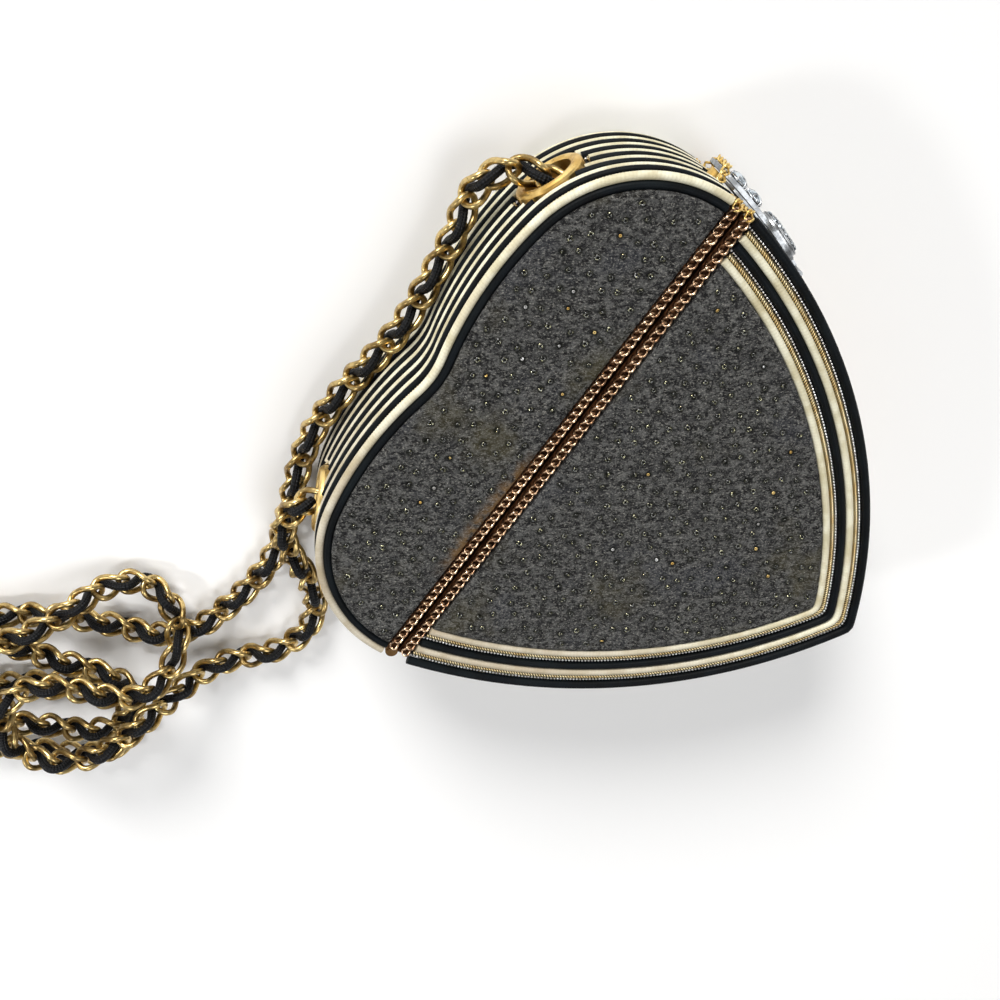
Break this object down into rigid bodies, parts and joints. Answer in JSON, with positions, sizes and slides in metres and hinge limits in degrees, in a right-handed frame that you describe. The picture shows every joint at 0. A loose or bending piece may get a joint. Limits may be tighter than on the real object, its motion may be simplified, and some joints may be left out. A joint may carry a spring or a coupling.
{
  "type": "heart shaped purse",
  "caption": "Hard heart shaped evening purse of two hinged halves with cord trimmed walls, felt faces, a jewelled flap clasp and a chain strap woven with cord.",
  "frame": {"origin": "centre of the bounding box of the purse without its strap, on the surface that its rear felt rests on", "axes": "+Z out of the front face, +Y towards the two lobes, -Y towards the tip, +X towards the clasp and -X towards the hinge"},
  "size_m": [0.3001, 0.2388, 0.0462],
  "materials": {
    "shell": "matt black board",
    "lining": "plain black cloth",
    "felt": "charcoal felt",
    "cream_satin": "satin wrapped cord",
    "black_satin": "satin",
    "silver_beads": "bright",
    "gold_braid": "twisted",
    "small_chain": "dark rose brass",
    "strap_brass": "antique polished",
    "gilt_brass": "polished",
    "clasp_metal": "polished",
    "stones": "faceted",
    "magnet": "bare"
  },
  "bodies": {
    "lid": {"lid_shell": "shell", "lid_rim": "gilt_brass", "lid_lining": "lining", "lid_front_felt": "felt", "lid_rear_felt": "felt", "lid_piping": "black_satin", "lid_cream_cords": "cream_satin", "lid_black_cords": "black_satin", "lid_silver_cords": "silver_beads", "lid_gold_cords": "gold_braid", "lid_front_chain": "small_chain", "lid_rear_chain": "small_chain", "lid_hinge_leaf": "gilt_brass", "hinge_pin": "gilt_brass", "eyelet_right": "gilt_brass", "eyelet_left": "gilt_brass", "strap_bar_right": "gilt_brass", "strap_bar_left": "gilt_brass", "clasp_keeper": "gilt_brass", "strap_links_near": "strap_brass", "strap_links_far": "strap_brass", "strap_cord": "black_satin"},
    "pocket": {"pocket_shell": "shell", "pocket_rim": "gilt_brass", "pocket_lining": "lining", "pocket_front_felt": "felt", "pocket_rear_felt": "felt", "pocket_cream_cords": "cream_satin", "pocket_black_cords": "black_satin", "pocket_silver_cords": "silver_beads", "pocket_gold_cords": "gold_braid", "face_cream_cords": "cream_satin", "face_black_cords": "black_satin", "face_silver_cords": "silver_beads", "face_gold_cords": "gold_braid", "pocket_front_chain": "small_chain", "pocket_rear_chain": "small_chain", "pocket_hinge_leaf": "gilt_brass", "clasp_base": "clasp_metal", "clasp_pin": "clasp_metal"},
    "clasp": {"clasp_flap": "clasp_metal", "clasp_stones": "stones", "clasp_magnet": "magnet"}
  },
  "joints": [
    {"name": "pocket_swing", "type": "hinge", "parent": "lid", "child": "pocket", "pos_m": [-0.08381, 0.03548, 0.023], "axis": [0, 0, -1], "range_deg": [0, 75]},
    {"name": "clasp_swing", "type": "hinge", "parent": "pocket", "child": "clasp", "pos_m": [0.07371, 0.00404, 0.023], "axis": [0, 0, -1], "range_deg": [0, 40]}
  ]
}
